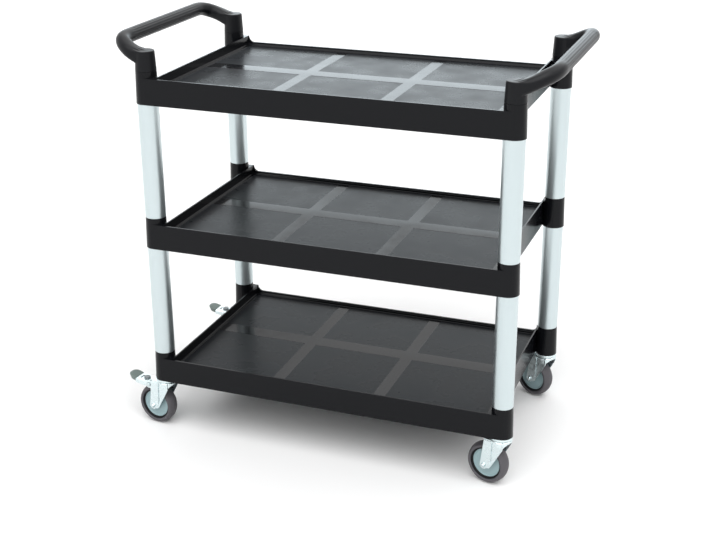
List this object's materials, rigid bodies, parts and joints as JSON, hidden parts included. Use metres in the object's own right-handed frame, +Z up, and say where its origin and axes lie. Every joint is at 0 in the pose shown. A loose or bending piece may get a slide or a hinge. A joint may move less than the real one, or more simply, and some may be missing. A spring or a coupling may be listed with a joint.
{
  "type": "serving trolley",
  "caption": "Serving trolley with black moulded tray shelves on round aluminium uprights, a push handle at each end and swivel casters, some of them with foot brakes.",
  "frame": {"origin": "on the floor, midway between the four uprights", "axes": "+X along the trolley towards the handle away from the brakes, +Y towards the low back rims, +Z up"},
  "size_m": [1.0474, 0.5259, 0.9685],
  "materials": {
    "shelf_plastic": "black moulded polypropylene, satin",
    "handle_plastic": "black moulded polypropylene, satin",
    "tube_aluminium": "satin anodised",
    "zinc_steel": "bright zinc plated pressing",
    "fastener_steel": "bright zinc plated",
    "bearing_steel": "ground",
    "hub_plastic": "blue grey moulded nylon",
    "tyre_rubber": "dark grey thermoplastic rubber",
    "cap_plastic": "dull grey moulded, ribbed",
    "button_plastic": "grey moulded, smooth",
    "shoe_rubber": "dark, matt",
    "plug_nylon": "moulded nylon"
  },
  "bodies": {
    "frame": {"top_shelf": "shelf_plastic", "middle_shelf": "shelf_plastic", "bottom_shelf": "shelf_plastic", "left_handle": "handle_plastic", "right_handle": "handle_plastic", "lower_tube_front_left": "tube_aluminium", "lower_tube_front_right": "tube_aluminium", "lower_tube_back_left": "tube_aluminium", "lower_tube_back_right": "tube_aluminium", "upper_tube_front_left": "tube_aluminium", "upper_tube_front_right": "tube_aluminium", "upper_tube_back_left": "tube_aluminium", "upper_tube_back_right": "tube_aluminium", "socket_plugs": "plug_nylon", "king_pin_nuts": "fastener_steel", "front_left_stem": "zinc_steel", "front_right_stem": "zinc_steel", "back_left_stem": "zinc_steel", "back_right_stem": "zinc_steel"},
    "front_left_caster": {"front_left_fork": "zinc_steel", "front_left_axle_bolt": "fastener_steel", "front_left_axle_nut": "fastener_steel", "front_left_axle_bush": "bearing_steel", "front_left_bearing_balls": "bearing_steel", "front_left_pedal_pin": "fastener_steel"},
    "front_left_wheel": {"front_left_hub": "hub_plastic", "front_left_tyre": "tyre_rubber"},
    "front_left_brake": {"front_left_brake_pedal": "zinc_steel", "front_left_pedal_cap": "cap_plastic", "front_left_brake_shoe": "shoe_rubber", "front_left_shoe_button": "button_plastic"},
    "front_right_caster": {"front_right_fork": "zinc_steel", "front_right_axle_bolt": "fastener_steel", "front_right_axle_nut": "fastener_steel", "front_right_axle_bush": "bearing_steel", "front_right_bearing_balls": "bearing_steel"},
    "front_right_wheel": {"front_right_hub": "hub_plastic", "front_right_tyre": "tyre_rubber"},
    "back_left_caster": {"back_left_fork": "zinc_steel", "back_left_axle_bolt": "fastener_steel", "back_left_axle_nut": "fastener_steel", "back_left_axle_bush": "bearing_steel", "back_left_bearing_balls": "bearing_steel", "back_left_pedal_pin": "fastener_steel"},
    "back_left_wheel": {"back_left_hub": "hub_plastic", "back_left_tyre": "tyre_rubber"},
    "back_left_brake": {"back_left_brake_pedal": "zinc_steel", "back_left_pedal_cap": "cap_plastic", "back_left_brake_shoe": "shoe_rubber", "back_left_shoe_button": "button_plastic"},
    "back_right_caster": {"back_right_fork": "zinc_steel", "back_right_axle_bolt": "fastener_steel", "back_right_axle_nut": "fastener_steel", "back_right_axle_bush": "bearing_steel", "back_right_bearing_balls": "bearing_steel"},
    "back_right_wheel": {"back_right_hub": "hub_plastic", "back_right_tyre": "tyre_rubber"}
  },
  "joints": [
    {"name": "front_left_swivel", "type": "hinge", "parent": "frame", "child": "front_left_caster", "pos_m": [-0.422, -0.226, 0.12], "axis": [0, 0, 1], "continuous": true},
    {"name": "front_left_wheel_spin", "type": "hinge", "parent": "front_left_caster", "child": "front_left_wheel", "pos_m": [-0.45258, -0.22088, 0.05], "axis": [-0.165, -0.9863, 0], "continuous": true},
    {"name": "front_left_brake_press", "type": "hinge", "parent": "front_left_caster", "child": "front_left_brake", "pos_m": [-0.46342, -0.21907, 0.10477], "axis": [-0.165, -0.9863, 0], "range_deg": [0, 14]},
    {"name": "front_right_swivel", "type": "hinge", "parent": "frame", "child": "front_right_caster", "pos_m": [0.422, -0.226, 0.12], "axis": [0, 0, 1], "continuous": true},
    {"name": "front_right_wheel_spin", "type": "hinge", "parent": "front_right_caster", "child": "front_right_wheel", "pos_m": [0.39228, -0.2172, 0.05], "axis": [-0.284, -0.9588, 0], "continuous": true},
    {"name": "back_left_swivel", "type": "hinge", "parent": "frame", "child": "back_left_caster", "pos_m": [-0.422, 0.226, 0.12], "axis": [0, 0, 1], "continuous": true},
    {"name": "back_left_wheel_spin", "type": "hinge", "parent": "back_left_caster", "child": "back_left_wheel", "pos_m": [-0.45296, 0.22762, 0.05], "axis": [-0.0523, -0.9986, 0], "continuous": true},
    {"name": "back_left_brake_press", "type": "hinge", "parent": "back_left_caster", "child": "back_left_brake", "pos_m": [-0.46394, 0.2282, 0.10477], "axis": [-0.0523, -0.9986, 0], "range_deg": [0, 14]},
    {"name": "back_right_swivel", "type": "hinge", "parent": "frame", "child": "back_right_caster", "pos_m": [0.422, 0.226, 0.12], "axis": [0, 0, 1], "continuous": true},
    {"name": "back_right_wheel_spin", "type": "hinge", "parent": "back_right_caster", "child": "back_right_wheel", "pos_m": [0.39414, 0.23959, 0.05], "axis": [-0.4384, -0.8988, 0], "continuous": true}
  ]
}
